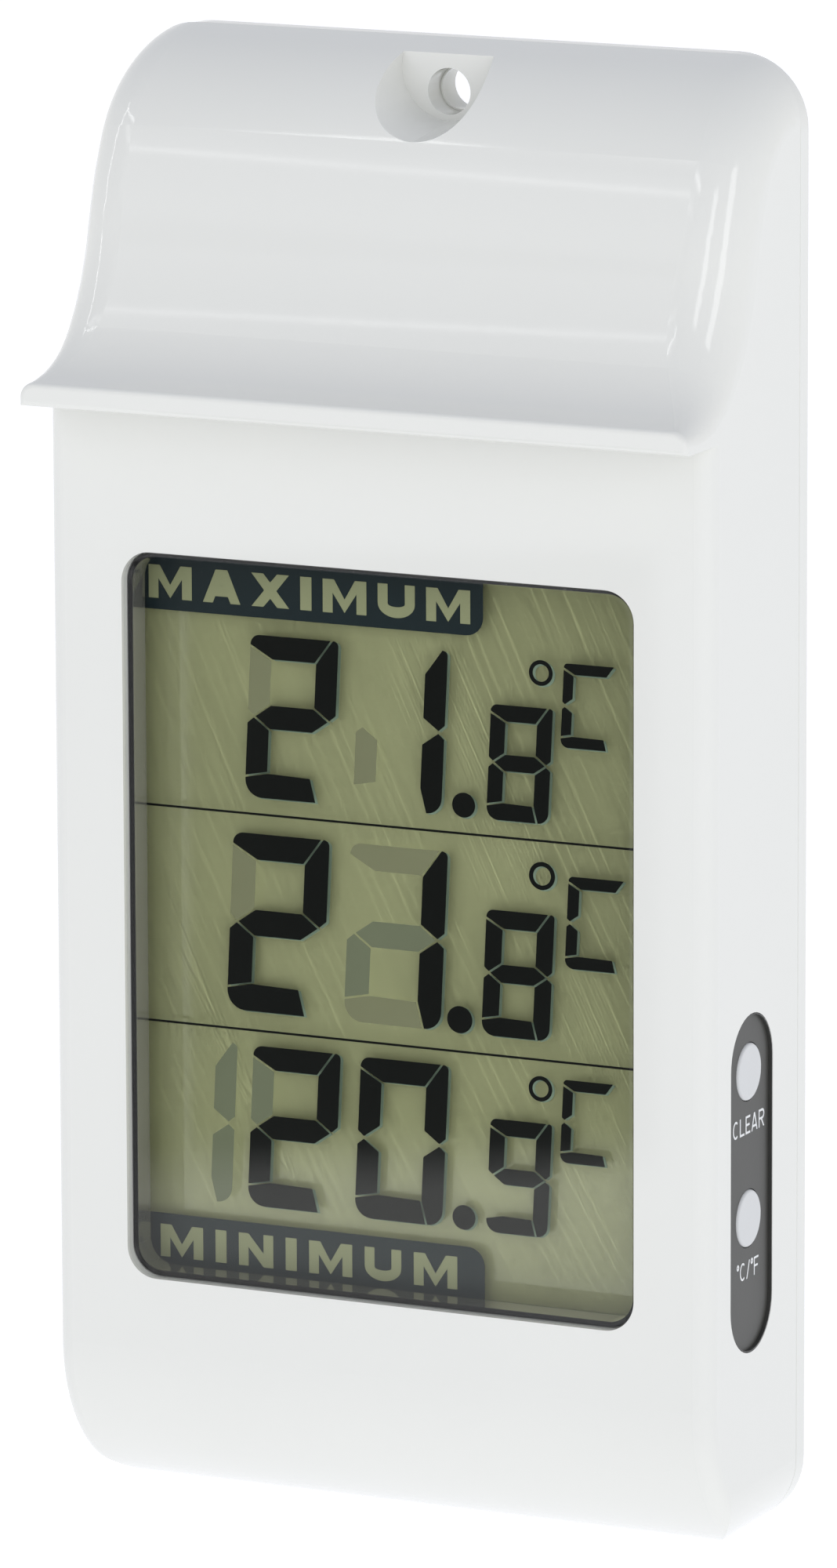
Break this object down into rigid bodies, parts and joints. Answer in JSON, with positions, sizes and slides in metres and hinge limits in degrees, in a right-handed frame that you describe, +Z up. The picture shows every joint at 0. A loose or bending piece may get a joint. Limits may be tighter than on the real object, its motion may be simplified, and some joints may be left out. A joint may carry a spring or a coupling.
{
  "type": "maximum minimum thermometer",
  "caption": "Wall-hung digital maximum and minimum thermometer: hooded white case, tall three-row display, side buttons, sliding battery door.",
  "frame": {"origin": "centre of the hanging hole, on the back plane where the case touches the wall", "axes": "+Z up the case, front and display towards -Y, +X to the right as seen from the front; +Y points into the wall"},
  "size_m": [0.073, 0.0299, 0.15],
  "materials": {
    "case_plastic": "glossy white moulded plastic",
    "screw_steel": "zinc plated",
    "cell_jacket": "printed film jacket, plain",
    "spring_metal": "nickel plated",
    "clear_window": "clear polished acrylic",
    "black_tape": "matt black film",
    "dark_bezel": "dark grey semi-gloss moulding",
    "polarizer_film": "olive polarizing film",
    "display_glass": "thin clear glass",
    "reflector_film": "olive grey diffuse reflector",
    "zebra_rubber": "layered silicone",
    "board_laminate": "green solder mask",
    "chip_resin": "black resin",
    "capacitor_ceramic": "tan ceramic",
    "sensor_resin": "black epoxy bead",
    "grey_label": "dark grey satin film",
    "button_plastic": "white satin plastic",
    "switch_body": "black plastic",
    "switch_plunger": "dark plastic"
  },
  "bodies": {
    "case": {"front_housing": "case_plastic", "rear_cover": "case_plastic", "case_screws": "screw_steel", "battery_cell": "cell_jacket", "battery_contact_positive": "spring_metal", "battery_contact_negative": "spring_metal", "battery_spring": "spring_metal", "display_window": "clear_window", "window_tape": "black_tape", "lcd_frame": "dark_bezel", "lcd_front_polarizer": "polarizer_film", "lcd_front_glass": "display_glass", "lcd_rear_glass": "display_glass", "lcd_reflector": "reflector_film", "zebra_strip_upper": "zebra_rubber", "zebra_strip_lower": "zebra_rubber", "main_board": "board_laminate", "board_screws": "screw_steel", "chip_blob": "chip_resin", "crystal_can": "spring_metal", "board_capacitors": "capacitor_ceramic", "temperature_sensor": "sensor_resin", "button_board": "board_laminate", "button_board_pins": "spring_metal", "label_panel": "grey_label", "clear_switch_body": "switch_body", "unit_switch_body": "switch_body"},
    "battery_door": {"battery_door": "case_plastic"},
    "clear_button": {"clear_button": "button_plastic", "clear_switch_plunger": "switch_plunger"},
    "unit_button": {"unit_button": "button_plastic", "unit_switch_plunger": "switch_plunger"}
  },
  "joints": [
    {"name": "battery_door_slide", "type": "slide", "parent": "case", "child": "battery_door", "axis": [0, 0, -1], "range_m": [0, 0.055]},
    {"name": "clear_button_press", "type": "slide", "parent": "case", "child": "clear_button", "axis": [-1, 0, 0], "range_m": [0, 0.0005], "stiffness_N_per_m": 2500, "springref_m": -0.0004},
    {"name": "unit_button_press", "type": "slide", "parent": "case", "child": "unit_button", "axis": [-1, 0, 0], "range_m": [0, 0.0005], "stiffness_N_per_m": 2500, "springref_m": -0.0004}
  ]
}
